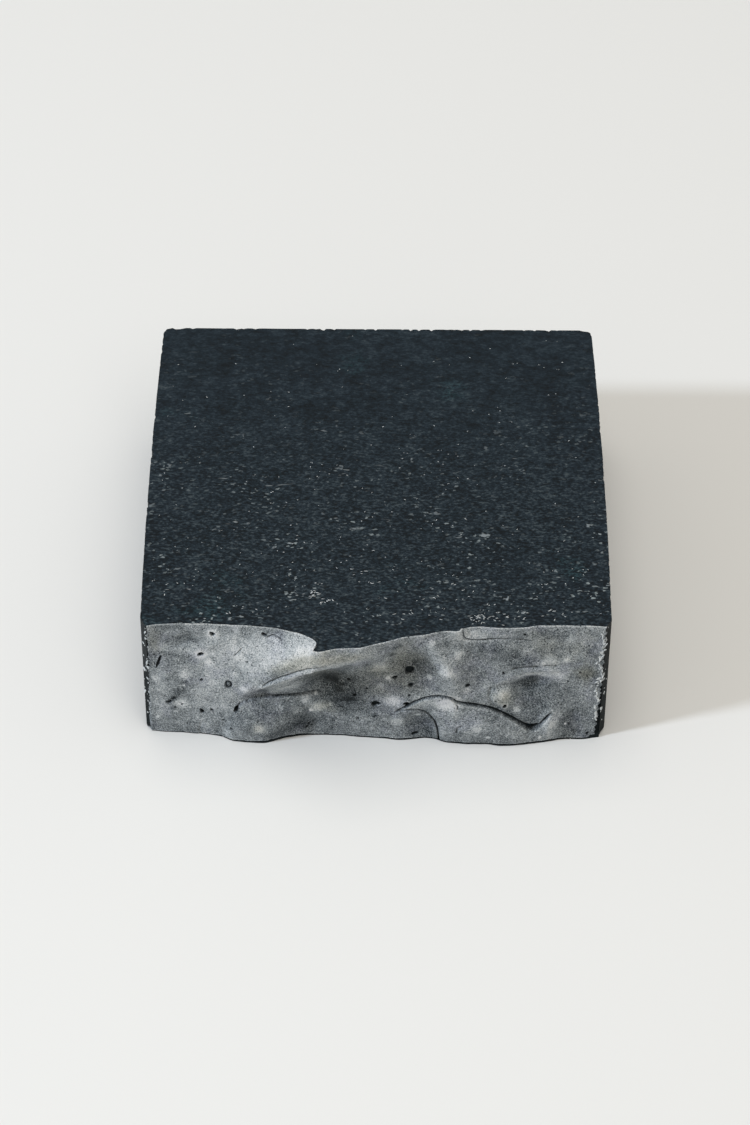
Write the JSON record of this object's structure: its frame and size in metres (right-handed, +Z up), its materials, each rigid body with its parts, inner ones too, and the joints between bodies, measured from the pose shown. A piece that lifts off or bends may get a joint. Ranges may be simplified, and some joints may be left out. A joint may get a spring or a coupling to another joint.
{
  "type": "charcoal soap bar",
  "caption": "Hand-cut slice of charcoal soap with smooth dark cut faces and a rough, folded poured top under a pale skin of soda ash.",
  "frame": {"origin": "centre of the nominal square of the lower cut face, halfway between the mould's walls and halfway between the mould's bottom and the plane of the poured top", "axes": "+Z up through the slice from one cut face to the other, +Y towards the mould's bottom, -Y out of the poured top, +X to the right when facing the poured top"},
  "size_m": [0.0768, 0.0825, 0.0253],
  "materials": {
    "charcoal_soap": "satin cut soap, slightly torn, with fine pale specks",
    "soda_ash": "matt powdery skin with pits and paler rings",
    "pale_grain": "matt chips and crumbs"
  },
  "bodies": {
    "root": {"soap_body": "charcoal_soap", "left_fold": "charcoal_soap", "crest_fold": "charcoal_soap", "centre_fold": "charcoal_soap", "lower_fold": "charcoal_soap", "tongue_fold": "charcoal_soap", "right_fold": "charcoal_soap", "upper_right_fold": "charcoal_soap", "left_ash": "soda_ash", "crest_ash": "soda_ash", "centre_ash": "soda_ash", "lower_ash": "soda_ash", "tongue_ash": "soda_ash", "right_ash": "soda_ash", "upper_right_ash": "soda_ash", "pale_grains": "pale_grain", "edge_crumbs": "pale_grain"}
  },
  "joints": []
}
